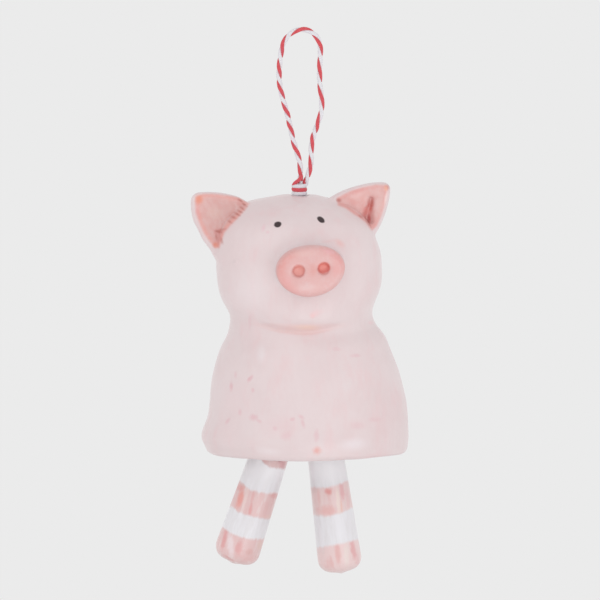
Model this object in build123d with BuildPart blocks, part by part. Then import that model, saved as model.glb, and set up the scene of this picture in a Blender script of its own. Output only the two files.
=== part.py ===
from build123d import *
import os
from math import cos, pi, radians, sin, sqrt, tan

# A pig bell: a hollow glazed bell with a pig's head, two striped legs that hang
# out of its rim, and the baker's twine that carries them all.
# Millimetres. +Z is up, the face looks along -Y, and +X is the viewer's right.
# The origin is where a hook bears on the inside of the twine loop's top.

# Levels, from the hook down
crown_drop = 44.2

# Twine and its knots
twine_diameter = 1.5
strand_spacing = 1.64        # middle to middle of two strands side by side
pulled_twine_share = 0.87    # what is left of the diameter where a knot pulls it tight
throat_length = 1.2          # the two strands lie side by side this far above the knot
throat_offset = 0.5          # they enter the knot a little to the right
knot_gap = 0.15              # between a knot and the twine that swings on it
knot_seat = 0.1              # between a knot and the glaze that it bears on
knot_offset = -0.3           # the crown's hole and its knots, to the left of the hook
top_knot = {"width": 4.2, "height": 3.2, "turns": 1.0}
stop_knot = {"width": 5.6, "height": 3.8, "turns": 1.25}
tie_knot = {"width": 3.8, "height": 3.2, "turns": 1.0}
knot_core_share = 0.9        # of the winding's radius, so that the turns sink into the core
knot_face_share = 0.8        # of the core's radius, the flat that a cord leaves from
knot_tuck_share = 0.35       # how far in the winding's ends are tucked
bend_share = 0.45            # of the shorter run, how much of it a bend in a cord takes up

# Head, from the neck up to the crown
head_height = 32.8
head_width = 44.8
head_depth = 35.6
face_roll = 5.5              # degrees, the viewer's right side of the face is higher
face_turn = 5.0              # degrees, the face looks a little to the viewer's right

# Skirt, from the rim up to the neck
skirt_height = 37.2
skirt_width = 56.0
skirt_depth = 48.4
wall = 3.0
rim_round = 1.3              # outside
rim_flare = 0.5              # inside, how much thinner the wall is at the rim
crown_hole = 3.6

# Cross sections: how high each stands in the skirt or the head, as a share of that
# height, then its reach to the left, right, front and back as shares of half the
# width and half the depth
skirt_shares = [
    (0.000, 0.950, 1.014, 0.992, 0.992),
    (0.088, 0.963, 1.028, 1.000, 1.000),
    (0.175, 0.953, 1.029, 0.995, 0.996),
    (0.261, 0.906, 1.022, 0.972, 0.972),
    (0.348, 0.891, 1.010, 0.954, 0.953),
    (0.435, 0.883, 0.988, 0.939, 0.934),
    (0.521, 0.873, 0.961, 0.920, 0.913),
    (0.607, 0.853, 0.928, 0.895, 0.887),
    (0.691, 0.821, 0.886, 0.861, 0.855),
    (0.774, 0.779, 0.842, 0.818, 0.818),
    (0.854, 0.722, 0.794, 0.763, 0.771),
    (0.935, 0.698, 0.713, 0.720, 0.723),
]
head_shares = [
    (0.024, 0.879, 0.849, 1.046, 0.938),
    (0.121, 0.952, 0.882, 1.085, 0.924),
    (0.219, 1.000, 0.938, 1.097, 0.916),
    (0.318, 1.019, 0.970, 1.101, 0.909),
    (0.417, 1.026, 0.965, 1.092, 0.903),
    (0.516, 1.026, 0.951, 1.076, 0.895),
    (0.615, 1.013, 0.908, 1.045, 0.881),
    (0.711, 0.983, 0.853, 0.990, 0.850),
    (0.800, 0.919, 0.778, 0.902, 0.792),
    (0.871, 0.805, 0.671, 0.769, 0.688),
    (0.927, 0.666, 0.540, 0.619, 0.571),
    (0.967, 0.506, 0.395, 0.460, 0.442),
    (0.992, 0.327, 0.250, 0.299, 0.297),
    (1.000, 0.147, 0.110, 0.135, 0.135),
]
hollow_head_shares = head_shares[:12]     # the ceiling inside is flat, where the stop knot bears
snout_shares = head_shares[3]             # the row that the snout's front is measured from

# Ears, each with its inner and outer root and its tip, given across from the hook
# and down from the crown
ear_thickness = 3.2
ear_cup = 15.0               # radius of the ear's hollow
ear_bow = 1.1                # how far an ear's edges bow out
ear_tip_round = 1.9
ear_edge_round = 1.2
ear_root_depth = 6.0         # how far an ear runs on inside the head
ear_root_share = 0.35        # how wide it ends there, as a share of its width at the head
left_ear = {"inner": (-13.8, 2.8), "outer": (-23.1, 17.2), "tip": (-30.0, -0.7), "set_back": 1.5}
right_ear = {"inner": (6.6, 0.6), "outer": (19.4, 11.0), "tip": (24.0, -3.4), "set_back": 1.5}

# The crease that folds the right ear's outer side forward
fold_top = (18.9, 0.4)
fold_foot = (17.2, 7.6)
fold_width = 2.4
fold_depth = 1.5

# Snout
snout_width = 18.7
snout_height = 14.4
snout_stand = 4.6            # how far it stands out of the face
snout_round = 1.7
snout_offset = 2.5
snout_drop = 17.2            # from the crown to its middle
nostril_width = 3.4
nostril_depth = 1.3
nostril_spacing = 6.8

# Legs: the eye is given across from the hook and down from the crown, the length
# runs from the eye to the sole, and the splay is in degrees
eye_hole = 2.1
eye_half_thickness = 2.2     # the pinched top that the eye goes through
eye_shoulder_drop = 5.6      # from the eye to where the pinch ends
eye_shoulder_round = 1.8
foot_corner = 3.4
foot_dome = 0.9              # how far the sole's middle stands below its edge
left_leg = {"eye": (-6.6, 64.4), "length": 38.3, "top": 5.0, "foot": 6.15, "splay": -18.5}
right_leg = {"eye": (5.65, 65.3), "length": 38.5, "top": 4.7, "foot": 5.95, "splay": 7.6}

# Ties, the twine loop through each eye: heights above the eye and reaches to its sides
tie_rise = 9.8
tie_neck = 2.6               # the two strands' straight run below the knot
tie_shoulder = (5.0, 4.0)
tie_bend_reach = 3.6

overrun = 2.0                # cutters run past their faces by this

# The loop's middle line, from the left strand at the throat over the top to the right
loop_points = [
    (-0.32, 0.0, -36.2), (-1.15, -0.25, -33.2), (-2.35, -0.4, -29.6), (-3.15, -0.15, -25.7),
    (-4.1, 0.2, -21.6), (-5.4, 0.4, -17.5), (-6.2, 0.25, -13.3), (-6.15, 0.05, -9.5),
    (-5.75, 0.0, -6.2), (-5.25, 0.0, -3.3), (-3.75, 0.0, -0.78), (-1.3, 0.0, 0.75),
    (1.4, 0.0, 0.75), (3.75, 0.0, -0.78), (4.95, 0.0, -3.3), (4.95, 0.05, -6.5),
    (4.7, 0.25, -10.2), (4.75, 0.4, -14.0), (5.3, 0.3, -17.7), (5.35, 0.1, -21.3),
    (4.25, -0.15, -24.8), (2.95, -0.25, -28.2), (2.3, -0.2, -31.6), (1.9, -0.05, -34.4),
    (1.32, 0.0, -36.6),
]

# Levels and places that follow from the sizes above
crown_level = -crown_drop
neck_level = crown_level - head_height
rim_level = neck_level - skirt_height
ceiling_level = neck_level + hollow_head_shares[-1][0] * (head_height - wall)
twine_radius = twine_diameter / 2
pulled_twine = twine_diameter * pulled_twine_share
top_knot_level = crown_level + knot_seat + top_knot["height"]
nod_level = top_knot_level + knot_gap + twine_radius
throat_level = nod_level + throat_length
stop_knot_level = ceiling_level - knot_seat
swing_level = stop_knot_level - stop_knot["height"] - knot_gap - twine_radius


def export(piece, name):
    piece.part.label = name
    export_step(piece.part, f"parts/{name}.step")


# Cords: straight runs joined by arcs, each as large as its two runs allow
def turn_radii(points):
    radii = []
    for before, here, after in zip(points, points[1:], points[2:]):
        run_in = Vector(here) - Vector(before)
        run_out = Vector(after) - Vector(here)
        half_turn = radians(run_in.get_angle(run_out)) / 2
        radii.append(bend_share * min(run_in.length, run_out.length) / tan(half_turn))
    return radii


def cord_tube(points, name):
    radii = turn_radii(points)
    with BuildPart() as tube:
        with BuildLine():
            route = FilletPolyline(*points, radius=radii)
        with BuildSketch(Plane(origin=route @ 0, z_dir=route % 0)):
            Circle(twine_radius)
        sweep(path=route)
    volume = pi * twine_radius ** 2 * route.length
    print(name, "length", round(route.length, 2), "radii", [round(radius, 1) for radius in radii],
          "volume over section times length", round(tube.part.volume / volume, 4))
    return tube


# Knots: a round core with the twine wound about it and tucked in at both ends
def wind_point(radius, rise, turns, share):
    quarter_turns_in = min(share, 1 - share) * turns * 4
    tuck = min(quarter_turns_in, 1)
    reach = radius * (knot_tuck_share + (1 - knot_tuck_share) * sin(tuck * pi / 2))
    angle = 2 * pi * turns * share
    return Vector(reach * cos(angle), reach * sin(angle), rise * share - rise / 2)


def wind_way(radius, rise, turns, share):
    short_share = 1 / 2000
    ahead = wind_point(radius, rise, turns, min(share + short_share, 1))
    behind = wind_point(radius, rise, turns, max(share - short_share, 0))
    return (ahead - behind).normalized()


def biarc(start, start_way, end, end_way):
    chord = end - start
    both = start_way + end_way
    spread = 2 * (1 - start_way.dot(end_way))
    reach = (sqrt(chord.dot(both) ** 2 + spread * chord.dot(chord)) - chord.dot(both)) / spread
    first_corner = start + start_way * reach
    last_corner = end - end_way * reach
    middle = (first_corner + last_corner) / 2
    TangentArc(start, middle, tangent=start_way)
    TangentArc(middle, end, tangent=last_corner - first_corner)


def turn_gap(line, turns):
    samples = 60
    points = [line @ (index / samples) for index in range(samples + 1)]
    apart = round(samples / turns / 2)
    spans = [(points[first] - points[last]).length
             for first in range(samples + 1) for last in range(first + apart, samples + 1)]
    return min(spans) - pulled_twine


def make_knot(frame, knot_size, name):
    height, turns = knot_size["height"], knot_size["turns"]
    wrap_radius = (knot_size["width"] - pulled_twine) / 2
    rise = height - pulled_twine
    core_radius = wrap_radius * knot_core_share
    face_radius = core_radius * knot_face_share
    quarters = round(4 * turns)
    with BuildPart() as wound:
        with BuildSketch(Plane.XZ):
            with BuildLine():
                Polyline((0, height / 2), (0, -height / 2), (face_radius, -height / 2))
                ThreePointArc((face_radius, -height / 2), (core_radius, 0), (face_radius, height / 2))
                Line((face_radius, height / 2), (0, height / 2))
            make_face()
        revolve(axis=Axis.Z)
        with BuildLine() as wrap:
            for quarter in range(quarters):
                shares = (quarter / quarters, (quarter + 1) / quarters)
                ends = [wind_point(wrap_radius, rise, turns, share) for share in shares]
                ways = [wind_way(wrap_radius, rise, turns, share) for share in shares]
                biarc(ends[0], ways[0], ends[1], ways[1])
        with BuildSketch(Plane(origin=wrap.line @ 0, z_dir=wrap.line % 0)):
            Circle(pulled_twine / 2)
        sweep(path=wrap.line)
    with BuildPart() as knot:
        add(frame.location * wound.part)
    print(name, "least gap of its winding to itself", round(turn_gap(wrap.line, turns), 2))
    return knot


# The bell's outside and its hollow are one loft each, from the rim to the crown
def bell_form(thickness, flare, head_rows):
    skirt = [(rim_level + share[0] * skirt_height, share, skirt_width, skirt_depth)
             for share in skirt_shares]
    head = [(neck_level + share[0] * (head_height - thickness), share, head_width, head_depth)
            for share in head_rows]
    sections = []
    for level, (_, left, right, front, back), width, depth in skirt + head:
        inset = thickness - flare if level == rim_level else thickness
        low = Vector(-left * width / 2 + inset, -front * depth / 2 + inset)
        high = Vector(right * width / 2 - inset, back * depth / 2 - inset)
        with BuildSketch(Plane.XY.offset(level)) as section:
            with Locations((low + high) / 2):
                Ellipse((high.X - low.X) / 2, (high.Y - low.Y) / 2)
        sections.append(section.sketch)
    with BuildPart() as form:
        loft(sections)
    return form


bell_outside = bell_form(0, 0, head_shares)
bell_hollow = bell_form(wall, rim_flare, hollow_head_shares)


# Ears: a leaf with its root in the head, cupped towards the front
def ear_form(ear):
    inner, outer, tip = (Vector(across, crown_level - drop)
                         for across, drop in (ear["inner"], ear["outer"], ear["tip"]))
    root = (inner + outer) / 2
    inward = (root - tip).normalized() * ear_root_depth
    cup_middle = (root + tip) / 2
    heart = (inner + outer + tip) / 3

    def bowed(start, end):
        middle = (start + end) / 2
        edge = (end - start).normalized()
        away = (middle - heart) - edge * (middle - heart).dot(edge)
        return middle + away.normalized() * ear_bow

    front = Plane(origin=(0, ear["set_back"], 0), x_dir=(1, 0, 0), z_dir=(0, -1, 0))
    with BuildPart() as form:
        with BuildSketch(front):
            with BuildLine() as outline:
                ThreePointArc(inner, bowed(inner, tip), tip)
                ThreePointArc(tip, bowed(tip, outer), outer)
                Polyline(outer, *(root + inward + (corner - root) * ear_root_share
                                  for corner in (outer, inner)), inner)
                fillet(outline.vertices().sort_by_distance(front.from_local_coords(tip))[0],
                       ear_tip_round)
            make_face()
        extrude(amount=ear_cup, both=True)
        with Locations((cup_middle.X, ear["set_back"] - ear_cup, cup_middle.Y)):
            Sphere(ear_cup + ear_thickness / 2, mode=Mode.INTERSECT)
            Sphere(ear_cup - ear_thickness / 2, mode=Mode.SUBTRACT)
        outward = front.from_local_coords(tip) - front.from_local_coords(root)
        free_edges = [edge for edge in form.edges()
                      if (edge.center() - front.from_local_coords(root)).dot(outward) > 0]
        fillet(free_edges, ear_edge_round)
    return form


left_ear_form = ear_form(left_ear)
right_ear_form = ear_form(right_ear)

# The fold is a wedge laid along the right ear's hollow
fold_start = Vector(fold_top[0], 0, crown_level - fold_top[1])
fold_end = Vector(fold_foot[0], 0, crown_level - fold_foot[1])
fold_front = right_ear["set_back"] - ear_thickness / 2
fold_plane = Plane(origin=fold_start + Vector(0, fold_front, 0), x_dir=(0, 1, 0),
                   z_dir=fold_end - fold_start)
with BuildPart() as fold_wedge:
    with BuildSketch(fold_plane):
        Polygon((-fold_depth, -fold_width), (fold_depth, 0), (-fold_depth, fold_width), align=None)
    extrude(amount=(fold_end - fold_start).length)

# The face is rolled and turned a little on the head
face_out = Vector(sin(radians(face_turn)), -cos(radians(face_turn)), 0)
face_up = Vector(-sin(radians(face_roll)), 0, cos(radians(face_roll)))
snout_front = -snout_shares[3] * head_depth / 2 - snout_stand
snout_face = Plane(origin=(snout_offset, snout_front, crown_level - snout_drop),
                   x_dir=face_up.cross(face_out), z_dir=face_out)

# The bell, fired as one piece
with BuildPart() as bell_body:
    add(bell_outside.part)
    fillet(bell_body.edges().group_by(Axis.Z)[0], rim_round)
    add(left_ear_form.part)
    add(right_ear_form.part)
    add(fold_wedge.part, mode=Mode.SUBTRACT)
    with BuildSketch(snout_face):
        Ellipse(snout_width / 2, snout_height / 2)
    extrude(amount=-snout_stand * 2)
    fillet(bell_body.faces().sort_by(Axis(snout_face.origin, face_out))[-1].edges(), snout_round)
    with BuildSketch(snout_face):
        with GridLocations(nostril_spacing, 0, 2, 1):
            Circle(nostril_width / 2)
    extrude(amount=-nostril_depth, mode=Mode.SUBTRACT)
    add(bell_hollow.part, mode=Mode.SUBTRACT)
    with BuildSketch(Plane.XY.offset(crown_level + overrun)):
        with Locations((knot_offset, 0)):
            Circle(crown_hole / 2)
    extrude(amount=ceiling_level - crown_level - 2 * overrun, mode=Mode.SUBTRACT)


# The hanging loop ends where its two strands have come together
left_strand = (throat_offset - strand_spacing / 2, 0, throat_level)
right_strand = (throat_offset + strand_spacing / 2, 0, throat_level)
hanging_loop = cord_tube([left_strand, *loop_points, right_strand], "hanging loop")

# The two strands side by side, round below so that they can tip on the knot
with BuildPart() as loop_throat:
    with BuildSketch(Plane.XY.offset(nod_level - twine_radius)):
        with Locations((throat_offset, 0)):
            SlotCenterToCenter(strand_spacing, twine_diameter)
    extrude(amount=throat_length + twine_radius)
    with BuildSketch(Plane.YZ.offset(throat_offset)):
        with Locations((0, nod_level)):
            Circle(twine_radius)
        with Locations((0, nod_level + throat_length / 2)):
            Rectangle(twine_diameter, throat_length)
    extrude(amount=twine_diameter + strand_spacing, both=True, mode=Mode.INTERSECT)

top_knot_frame = Plane(origin=(knot_offset, 0, top_knot_level - top_knot["height"] / 2))
stop_knot_frame = Plane(origin=(knot_offset, 0, stop_knot_level - stop_knot["height"] / 2))
top_knot_piece = make_knot(top_knot_frame, top_knot, "top knot")
stop_knot_piece = make_knot(stop_knot_frame, stop_knot, "stop knot")

# Two strands go down through the crown's hole
with BuildPart() as crown_cord:
    with BuildSketch(Plane.XY.offset(stop_knot_level)):
        with Locations((knot_offset, 0)):
            with GridLocations(strand_spacing, 0, 2, 1):
                Circle(twine_radius)
    extrude(amount=crown_level + knot_seat - stop_knot_level)


# Below the stop knot each strand carries a leg, tied through the leg's eye
def make_hanger(leg, side, name):
    eye = Vector(leg["eye"][0], 0, crown_level - leg["eye"][1])
    swing = Vector(knot_offset + side * strand_spacing / 2, 0, swing_level)
    up = (swing - eye).normalized()
    knot_frame = Plane(origin=eye + up * (tie_rise + tie_knot["height"] / 2), x_dir=(0, 1, 0), z_dir=up)
    knot = make_knot(knot_frame, tie_knot, f"{name} tie knot")
    tail_start = eye + up * (tie_rise + tie_knot["height"])
    with BuildPart() as tail:
        with BuildSketch(Plane(origin=tail_start, z_dir=up)):
            Circle(twine_radius)
        extrude(amount=(swing - tail_start).length)
        with Locations(swing):
            Sphere(twine_radius)

    def beside(reach, rise):
        return Vector(0, reach, 0) + eye + up * rise

    half_route = [beside(strand_spacing / 2, tie_rise), beside(strand_spacing / 2, tie_rise - tie_neck),
                  beside(*tie_shoulder), beside(tie_bend_reach, 0)]
    other_half = [Vector(point.X, -point.Y, point.Z) for point in reversed(half_route)]
    tie = cord_tube(half_route + other_half, f"{name} tie")
    return tail, knot, tie


left_tail, left_tie_knot, left_tie = make_hanger(left_leg, -1, "left")
right_tail, right_tie_knot, right_tie = make_hanger(right_leg, 1, "right")


# A leg: a tapered bar with a blunt sole, its top pinched flat for the eye
def make_leg(leg):
    eye = Vector(leg["eye"][0], 0, crown_level - leg["eye"][1])
    lean = radians(leg["splay"])
    across = Vector(cos(lean), 0, sin(lean))
    front = Plane(origin=eye, x_dir=across, z_dir=(0, -1, 0))
    side = Plane(origin=eye, x_dir=(0, -1, 0), z_dir=across)
    top, foot, length = leg["top"], leg["foot"], leg["length"]
    corner_level = -(length - foot_dome - foot_corner)
    corner_middle = foot_corner * sqrt(0.5)
    sole_edge = foot - foot_corner
    with BuildPart() as bar:
        with BuildSketch(front):
            with BuildLine():
                ThreePointArc((0, top), (top * sqrt(0.5), top * sqrt(0.5)), (top, 0))
                Line((top, 0), (foot, corner_level))
                ThreePointArc((foot, corner_level),
                              (sole_edge + corner_middle, corner_level - corner_middle),
                              (sole_edge, corner_level - foot_corner))
                Line((sole_edge, corner_level - foot_corner), (0, -length))
                Line((0, -length), (0, top))
            make_face()
        revolve(axis=Axis(eye, front.y_dir))
        with BuildSketch(side) as pinch:
            for hand in (-1, 1):
                with Locations((hand * (eye_half_thickness + top / 2),
                                (top + overrun - eye_shoulder_drop) / 2)):
                    Rectangle(top, top + overrun + eye_shoulder_drop)
            fillet(pinch.vertices().group_by(Axis.Z)[0].sort_by(Axis.Y)[1:3], eye_shoulder_round)
        extrude(amount=top + overrun, both=True, mode=Mode.SUBTRACT)
        with BuildSketch(front):
            Circle(eye_hole / 2)
        extrude(amount=top, both=True, mode=Mode.SUBTRACT)
    return bar


left_leg_bar = make_leg(left_leg)
right_leg_bar = make_leg(right_leg)

os.makedirs("parts", exist_ok=True)
export(bell_body, "bell_body")
export(hanging_loop, "hanging_loop")
export(loop_throat, "loop_throat")
export(top_knot_piece, "top_knot")
export(crown_cord, "crown_cord")
export(stop_knot_piece, "stop_knot")
export(left_tail, "left_tail")
export(right_tail, "right_tail")
export(left_tie_knot, "left_tie_knot")
export(right_tie_knot, "right_tie_knot")
export(left_tie, "left_tie")
export(right_tie, "right_tie")
export(left_leg_bar, "left_leg")
export(right_leg_bar, "right_leg")
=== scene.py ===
from math import cos, pi, radians, sin, sqrt

import bpy
import numpy as np
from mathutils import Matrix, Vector


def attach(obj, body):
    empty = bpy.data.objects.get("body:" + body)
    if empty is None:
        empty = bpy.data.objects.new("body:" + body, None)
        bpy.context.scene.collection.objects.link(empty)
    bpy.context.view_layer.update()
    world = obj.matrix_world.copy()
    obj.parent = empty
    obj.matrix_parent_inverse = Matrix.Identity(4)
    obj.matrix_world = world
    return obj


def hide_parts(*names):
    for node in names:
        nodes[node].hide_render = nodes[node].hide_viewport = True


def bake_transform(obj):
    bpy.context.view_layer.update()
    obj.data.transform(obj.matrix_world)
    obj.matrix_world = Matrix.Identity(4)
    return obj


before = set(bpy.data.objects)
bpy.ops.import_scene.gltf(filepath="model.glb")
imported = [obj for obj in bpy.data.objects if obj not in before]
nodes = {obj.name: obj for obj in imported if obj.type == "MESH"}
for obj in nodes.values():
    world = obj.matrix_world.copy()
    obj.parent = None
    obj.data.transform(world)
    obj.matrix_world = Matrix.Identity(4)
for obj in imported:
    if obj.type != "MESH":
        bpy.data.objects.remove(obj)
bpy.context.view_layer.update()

mm = 0.001


# Small tools. Places are in millimetres here and in metres in the meshes

def linear(red, green, blue):  # an sRGB colour from 0 to 255, as a shader wants it
    return tuple(((c / 255 + 0.055) / 1.055) ** 2.4 for c in (red, green, blue))


def smooth(low, high, value):  # 0 at low, 1 at high
    share = np.clip((value - low) / (high - low), 0, 1)
    return share * share * (3 - 2 * share)


def addObject(name, data):
    piece = bpy.data.objects.new(name, data)
    bpy.context.scene.collection.objects.link(piece)
    return piece


def meshPiece(name, points, faces):
    mesh = bpy.data.meshes.new(name)
    mesh.from_pydata([tuple(p) for p in points], [], faces)
    mesh.update()
    mesh.polygons.foreach_set("use_smooth", [True] * len(mesh.polygons))
    return addObject(name, mesh)


def vertexPlaces(mesh):
    places = np.empty(len(mesh.vertices) * 3)
    mesh.vertices.foreach_get("co", places)
    return places.reshape(-1, 3) / mm


def setPlaces(mesh, places):
    mesh.vertices.foreach_set("co", (places * mm).ravel())
    mesh.update()


def vertexNormals(mesh):
    normals = np.empty(len(mesh.vertices) * 3)
    mesh.vertex_normals.foreach_get("vector", normals)
    return normals.reshape(-1, 3)


def setNumber(mesh, name, values):
    mesh.attributes.new(name, "FLOAT", "POINT").data.foreach_set("value", values)


def setColour(mesh, name, colours):
    filled = np.ones((len(colours), 4))
    filled[:, :3] = colours
    mesh.attributes.new(name, "FLOAT_COLOR", "POINT").data.foreach_set("color", filled.ravel())


def settled(piece):  # the piece's mesh with its modifiers worked in
    shown = piece.evaluated_get(bpy.context.evaluated_depsgraph_get())
    mesh = bpy.data.meshes.new_from_object(shown)
    piece.modifiers.clear()
    piece.data = mesh
    if "custom_normal" in mesh.attributes:
        mesh.attributes.remove(mesh.attributes["custom_normal"])


def soften(piece, rounds, group=""):
    soft = piece.modifiers.new("soften", "SMOOTH")
    soft.factor = 0.5
    soft.iterations = rounds
    soft.vertex_group = group


def remeshed(node, name, voxel, rounds):  # a CAD node in small even faces, its edges softened
    piece = addObject(name, nodes[node].data.copy())
    piece.data.materials.clear()
    grid = piece.modifiers.new("grid", "REMESH")
    grid.mode = "VOXEL"
    grid.voxel_size = voxel * mm
    grid.use_smooth_shade = True
    soften(piece, rounds)
    settled(piece)
    return piece


# Places as the camera sees them: across, and up in its tilted picture
view = {"middle": (-0.54, 0.0, -72.77), "elevation": 8.0, "away": 3000.0, "frame": 162.0,
        "sensor": 36, "near": 50.0}
tilt = radians(view["elevation"])


def seen(places):
    fromMiddle = places - np.array(view["middle"])
    depth = fromMiddle[:, 1] * cos(tilt) - fromMiddle[:, 2] * sin(tilt)
    grown = view["away"] / (view["away"] + depth)
    upward = fromMiddle[:, 1] * sin(tilt) + fromMiddle[:, 2] * cos(tilt)
    return (view["middle"][0] + fromMiddle[:, 0] * grown,
            view["middle"][2] * cos(tilt) + upward * grown)


# A material and its nodes, made in few words

class Shader:
    through = 1000  # the depth of a painted spot, which goes right through a piece

    def __init__(self, name):
        self.material = bpy.data.materials.new(name)
        self.material.use_nodes = True
        self.tree = self.material.node_tree
        self.surface = self.tree.nodes["Principled BSDF"]
        self.places = self.vector("MULTIPLY", self.add("ShaderNodeTexCoord").outputs["Object"],
                                  (1 / mm, 1 / mm, 1 / mm))
        tilted = self.add("ShaderNodeMapping")
        self.put(tilted.inputs["Vector"], self.places)
        tilted.inputs["Rotation"].default_value = (tilt, 0, 0)
        self.tilted = tilted.outputs["Vector"]

    def add(self, kind, **settings):
        node = self.tree.nodes.new(kind)
        for key, value in settings.items():
            setattr(node, key, value)
        return node

    def put(self, socket, value):
        if isinstance(value, bpy.types.NodeSocket):
            self.tree.links.new(value, socket)
        else:
            socket.default_value = value

    def vector(self, operation, first, second=None):
        node = self.add("ShaderNodeVectorMath", operation=operation)
        self.put(node.inputs[0], first)
        if second is not None:
            self.put(node.inputs[1], second)
        return node.outputs["Value" if operation == "LENGTH" else "Vector"]

    def math(self, operation, first, second):
        node = self.add("ShaderNodeMath", operation=operation)
        self.put(node.inputs[0], first)
        self.put(node.inputs[1], second)
        return node.outputs[0]

    def ramp(self, value, low, high, out=(0.0, 1.0)):
        node = self.add("ShaderNodeMapRange", interpolation_type="SMOOTHSTEP")
        self.put(node.inputs["Value"], value)
        for key, number in zip(("From Min", "From Max", "To Min", "To Max"), (low, high, *out)):
            node.inputs[key].default_value = number
        return node.outputs["Result"]

    def noise(self, scale, detail=2.0, rough=0.5, stretch=(1, 1, 1), shift=(0, 0, 0), turn=(0, 0, 0),
              places=None):
        placed = self.add("ShaderNodeMapping", vector_type="TEXTURE")
        self.put(placed.inputs["Vector"], places or self.places)
        placed.inputs["Location"].default_value = shift
        placed.inputs["Rotation"].default_value = turn
        placed.inputs["Scale"].default_value = stretch
        node = self.add("ShaderNodeTexNoise")
        self.put(node.inputs["Vector"], placed.outputs["Vector"])
        node.inputs["Scale"].default_value = scale
        node.inputs["Detail"].default_value = detail
        node.inputs["Roughness"].default_value = rough
        return node.outputs["Fac"]

    def spot(self, x, v, wide, tall, lean, soft, ragged):  # 1 in an ellipse, which leans anticlockwise
        placed = self.add("ShaderNodeMapping", vector_type="TEXTURE")
        self.put(placed.inputs["Vector"], self.tilted)
        placed.inputs["Location"].default_value = (x, 0, v)
        placed.inputs["Rotation"].default_value = (0, -radians(lean), 0)
        placed.inputs["Scale"].default_value = (wide, self.through, tall)
        away = self.math("ADD", self.vector("LENGTH", placed.outputs["Vector"]), ragged)
        return self.ramp(away, 1 + soft, 1 - soft)

    def mix(self, amount, first, second):
        node = self.add("ShaderNodeMix", data_type="RGBA")
        self.put(node.inputs["Factor"], amount)
        self.put(node.inputs["A"], (*first, 1) if isinstance(first, tuple) else first)
        self.put(node.inputs["B"], (*second, 1) if isinstance(second, tuple) else second)
        return node.outputs["Result"]

    def attribute(self, name, kind="Fac"):
        return self.add("ShaderNodeAttribute", attribute_name=name).outputs[kind]

    def bump(self, height, distance, strength):
        node = self.add("ShaderNodeBump")
        node.inputs["Strength"].default_value = strength
        node.inputs["Distance"].default_value = distance * mm
        self.put(node.inputs["Height"], height)
        self.put(self.surface.inputs["Normal"], node.outputs["Normal"])

    def finish(self, colour, **sockets):
        self.put(self.surface.inputs["Base Color"], colour)
        for key, value in sockets.items():
            self.put(self.surface.inputs[key.replace("_", " ")], value)
        return self.material


# The camera looks slightly down through a long lens

lens = bpy.data.cameras.new("camera")
lens.sensor_width = view["sensor"]
lens.lens = view["sensor"] * view["away"] / view["frame"]
lens.clip_start = view["near"] * mm
camera = addObject("camera", lens)
camera.location = (Vector(view["middle"]) + view["away"] * Vector((0, -cos(tilt), sin(tilt)))) * mm
camera.rotation_euler = (pi / 2 - tilt, 0, 0)
bpy.context.scene.camera = camera
bpy.context.scene.view_settings.view_transform = "Standard"


# Twine: a red and a white ply laid round a smooth route

twine = {
    "diameter": 1.5, "pitch": 5.9,
    "plyOut": 0.33, "plyWide": 0.55, "plyDeep": 0.42,  # a ply's offset and half sizes
    "sides": 14, "step": 0.12,  # faces round a ply, and millimetres between its rings
    "tipShare": 0.08,  # how much of its width a ply keeps at its rounded tip
    # each ply's colour, its fibres' and its shade's
    "red": ((196, 60, 72), (230, 102, 106), (196, 92, 108)),
    "white": ((214, 213, 220), (238, 236, 238), (228, 210, 224)),
}

nodLevel, swingLevel = -40.0, -52.983
loopFoot = nodLevel - 0.62  # where the loop's two strands end
strands = (-0.45, 0.95)  # across, where they enter the top knot
loopRoute = [
    (-0.32, 0.0, -36.2), (-1.15, -0.25, -33.2), (-2.35, -0.4, -29.6), (-3.15, -0.15, -25.7),
    (-4.1, 0.2, -21.6), (-5.4, 0.4, -17.5), (-6.2, 0.25, -13.3), (-6.15, 0.05, -9.5),
    (-5.75, 0.0, -6.2), (-5.25, 0.0, -3.3), (-3.75, 0.0, -0.78), (-1.3, 0.0, 0.75),
    (1.4, 0.0, 0.75), (3.75, 0.0, -0.78), (4.95, 0.0, -3.3), (4.95, 0.05, -6.5),
    (4.7, 0.25, -10.2), (4.75, 0.4, -14.0), (5.3, 0.3, -17.7), (5.35, 0.1, -21.3),
    (4.25, -0.15, -24.8), (2.95, -0.25, -28.2), (2.4, -0.2, -31.6), (2.55, -0.05, -34.6),
    (2.15, 0.0, -37.4),
]
redPatches = [  # across and up, where the red ply comes to the front
    (-0.27, -38.04), (-1.62, -31.48), (-2.97, -25.43), (-4.05, -20.95), (-5.81, -15.23), (-5.94, -9.80),
    (-4.59, -3.92), (-0.54, 0.43), (4.05, -2.94), (4.75, -9.80), (4.86, -17.06), (4.21, -24.68),
    (2.43, -29.03), (2.35, -36.15),
]


def routeLine(points, step=twine["step"]):  # even points along the smooth line that the route steers
    curve = bpy.data.curves.new("route", "CURVE")
    curve.dimensions = "3D"
    curve.resolution_u = 24
    spline = curve.splines.new("NURBS")
    spline.points.add(len(points) - 1)
    for handle, point in zip(spline.points, points):
        handle.co = (*(Vector(point) * mm), 1)
    spline.order_u = 3
    spline.use_endpoint_u = True
    guide = addObject("route", curve)
    mesh = bpy.data.meshes.new_from_object(guide)
    line = vertexPlaces(mesh)
    bpy.data.objects.remove(guide)
    bpy.data.meshes.remove(mesh)
    bpy.data.curves.remove(curve)
    return evenLine(line, step)


def evenLine(line, step=twine["step"]):
    along = travelled(line)
    even = np.linspace(0, along[-1], int(along[-1] / step) + 1)
    return np.stack([np.interp(even, along, line[:, k]) for k in range(3)], axis=1)


def travelled(line):
    return np.concatenate([[0], np.cumsum(np.linalg.norm(np.diff(line, axis=0), axis=1))])


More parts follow.
